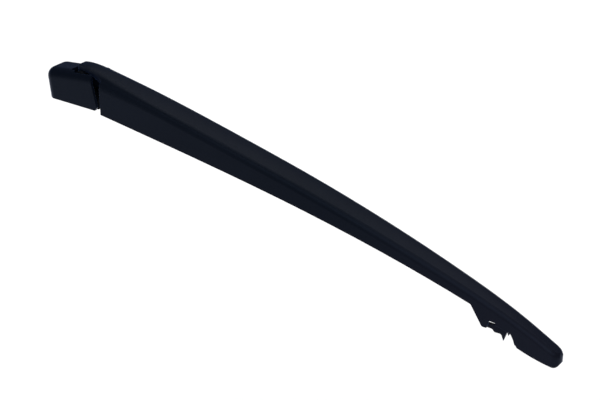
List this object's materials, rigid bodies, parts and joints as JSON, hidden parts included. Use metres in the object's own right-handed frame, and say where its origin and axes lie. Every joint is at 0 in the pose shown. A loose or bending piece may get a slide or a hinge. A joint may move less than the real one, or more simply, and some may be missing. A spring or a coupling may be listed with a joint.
{
  "type": "wiper arm",
  "caption": "Curved moulded wiper arm with a flip-up nut cover, a sprung hinge to its mounting head and a hooded tip clip that takes a blade.",
  "frame": {"origin": "on the wiper spindle's axis, at the base of the mounting head", "axes": "+Z along the spindle, away from the window; +X along the arm to its tip; Y across the arm, which is symmetric about the XZ plane"},
  "size_m": [0.3813, 0.0224, 0.1047],
  "materials": {
    "arm_plastic": "satin, fine moulded grain",
    "clip_plastic": "smooth moulded",
    "cast_head": "black e-coat on a die casting",
    "bush_steel": "zinc plated, serrated",
    "pin_steel": "ground",
    "link_steel": "zinc plated, stamped edges",
    "spring_steel": "drawn wire, lightly oiled",
    "bush_plastic": "natural acetal"
  },
  "bodies": {
    "head": {"mounting_head": "cast_head", "taper_bush": "bush_steel", "link_pin": "pin_steel", "hinge_bush_near": "bush_plastic", "hinge_bush_far": "bush_plastic"},
    "arm": {"arm_body": "arm_plastic", "hinge_pin": "pin_steel", "spring_anchor_pin": "pin_steel", "blade_clip": "clip_plastic"},
    "cover": {"nut_cover": "arm_plastic"},
    "link": {"spring_link": "link_steel"},
    "spring": {"tension_spring": "spring_steel"}
  },
  "joints": [
    {"name": "arm_lift", "type": "hinge", "parent": "head", "child": "arm", "pos_m": [0.016, 0, 0.018], "axis": [0, -1, 0], "range_deg": [0, 52], "stiffness_Nm_per_rad": 0.4, "springref_deg": -143.24},
    {"name": "cover_flip", "type": "hinge", "parent": "head", "child": "cover", "pos_m": [0.016, 0, 0.018], "axis": [0, 1, 0], "range_deg": [0, 48]},
    {"name": "link_swing", "type": "hinge", "parent": "head", "child": "link", "pos_m": [0.0125, 0, 0.009], "axis": [0, -1, 0], "range_deg": [0, 49.3]},
    {"name": "spring_stretch", "type": "slide", "parent": "link", "child": "spring", "axis": [0.9931, 0, -0.1177], "range_m": [0, 0.0066], "deforming": ["tension_spring"]}
  ],
  "couplings": [
    {"joint": "link_swing", "follows": "arm_lift", "ratio": 0.94628},
    {"joint": "spring_stretch", "follows": "arm_lift", "m_per_rad": 0.0072419}
  ]
}
